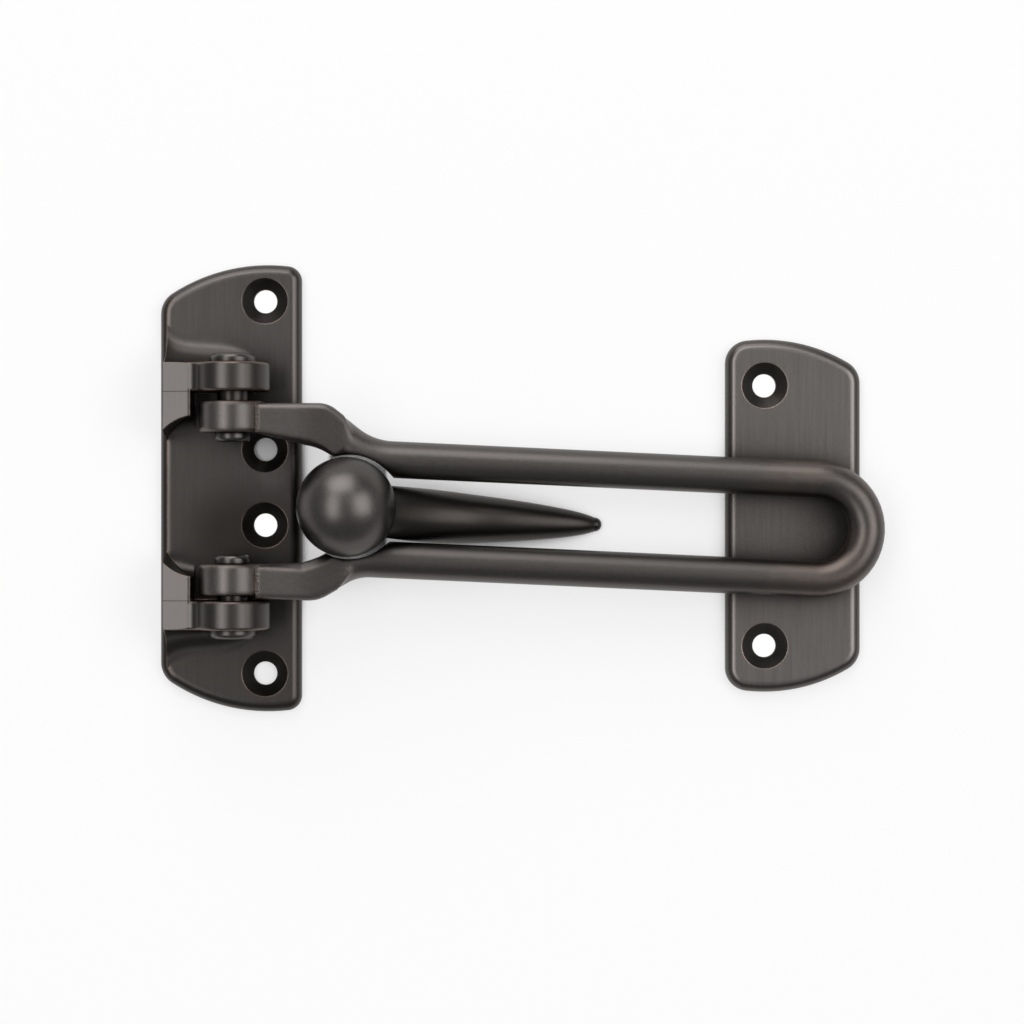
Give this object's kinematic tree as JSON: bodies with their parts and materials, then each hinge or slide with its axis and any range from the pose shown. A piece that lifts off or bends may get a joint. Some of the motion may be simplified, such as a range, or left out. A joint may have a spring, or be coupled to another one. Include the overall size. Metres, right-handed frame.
{
  "type": "swing bar door guard",
  "caption": "Cast swing bar door guard with a two-lug hinge bracket, a keyhole loop, a ball keeper on a tapering horn and a door plate, in dark bronze.",
  "frame": {"origin": "midpoint between the hinge bracket's two outer screws, on its back face", "axes": "+X from the hinge bracket towards the loop's closed end, +Y along the hinge axis, +Z out of the door"},
  "size_m": [0.1334, 0.0827, 0.0246],
  "materials": {
    "dark_bronze": "oil-rubbed bronze, satin",
    "pin_bronze": "oil-rubbed bronze, satin"
  },
  "bodies": {
    "fixed_parts": {"hinge_bracket": "dark_bronze", "upper_hinge_pin": "pin_bronze", "lower_hinge_pin": "pin_bronze", "ball_keeper": "dark_bronze", "door_plate": "dark_bronze"},
    "swing_bar": {"swing_bar": "dark_bronze"}
  },
  "joints": [
    {"name": "bar_swing", "type": "hinge", "parent": "fixed_parts", "child": "swing_bar", "pos_m": [-0.0054, -0.00207, 0.0097], "axis": [0, -1, 0], "range_deg": [0, 120]}
  ]
}
